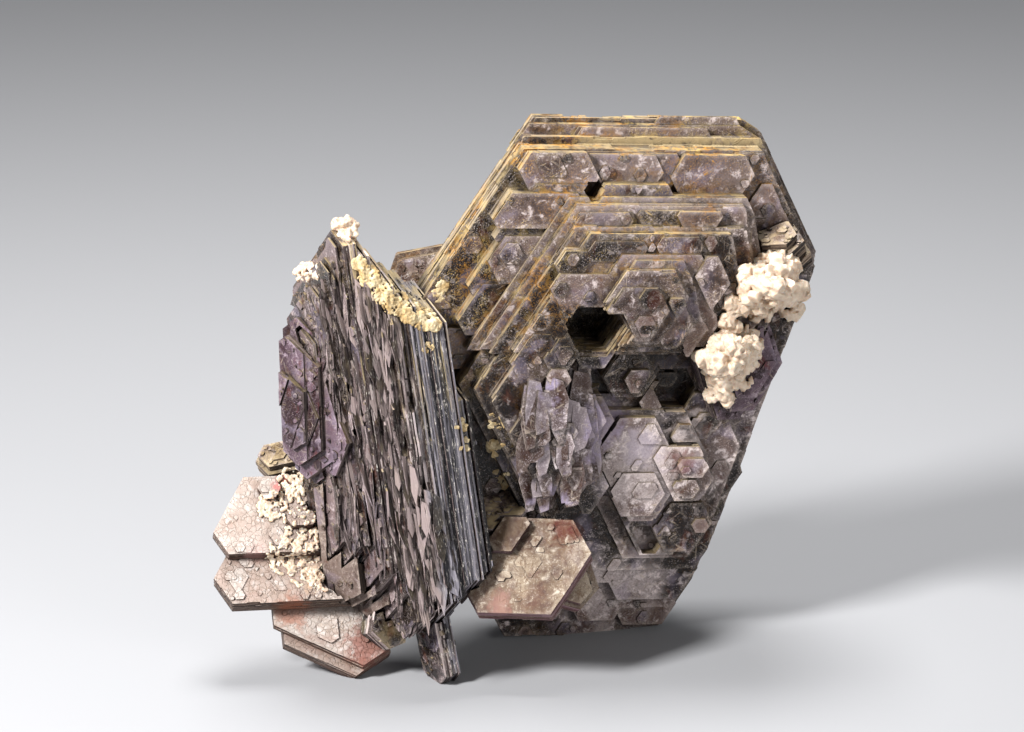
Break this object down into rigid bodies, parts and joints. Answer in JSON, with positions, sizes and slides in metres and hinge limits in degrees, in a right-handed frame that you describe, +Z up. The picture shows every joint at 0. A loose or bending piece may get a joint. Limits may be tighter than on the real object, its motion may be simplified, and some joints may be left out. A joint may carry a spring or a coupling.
{
  "type": "mica crystal specimen",
  "caption": "Natural cluster of intergrown mica books: a terraced six-sided book beside an upright book, with pearly plates and white albite tufts.",
  "frame": {"origin": "centre of the bounding box at the bottom, where the cluster rests", "axes": "+Z up as the cluster stands, its terraced face towards -Y, +X to the right of that face"},
  "size_m": [0.0914, 0.0468, 0.084],
  "materials": {
    "grey_mica": "pearly cleavage faces, stained orange along the terraces",
    "dark_mica": "blue-black page edges with fine striations",
    "violet_mica": "translucent violet-grey plates",
    "brown_mica": "brown-pink plates",
    "pearl_mica": "bright pearly white with rose and rust spots",
    "cream_mica": "beige, finely scratched cleavage face",
    "albite": "creamy white, slightly translucent blades"
  },
  "bodies": {
    "root": {"main_mica_book": "grey_mica", "upright_mica_book": "dark_mica", "left_flank_book": "violet_mica", "lower_flank_book": "brown_mica", "pearly_upper_book": "pearl_mica", "pearly_lower_book": "pearl_mica", "front_cream_book": "cream_mica", "small_front_book": "brown_mica", "ledge_book": "dark_mica", "foot_book": "dark_mica", "foot_crystal": "dark_mica", "back_mica_book": "brown_mica", "side_mica_book": "brown_mica", "right_knob_book": "brown_mica", "right_rear_book": "violet_mica", "albite_upper_tuft": "albite", "albite_lower_tuft": "albite", "albite_crown_tuft": "albite", "albite_left_tuft": "albite", "albite_pearl_tuft": "albite"}
  },
  "joints": []
}
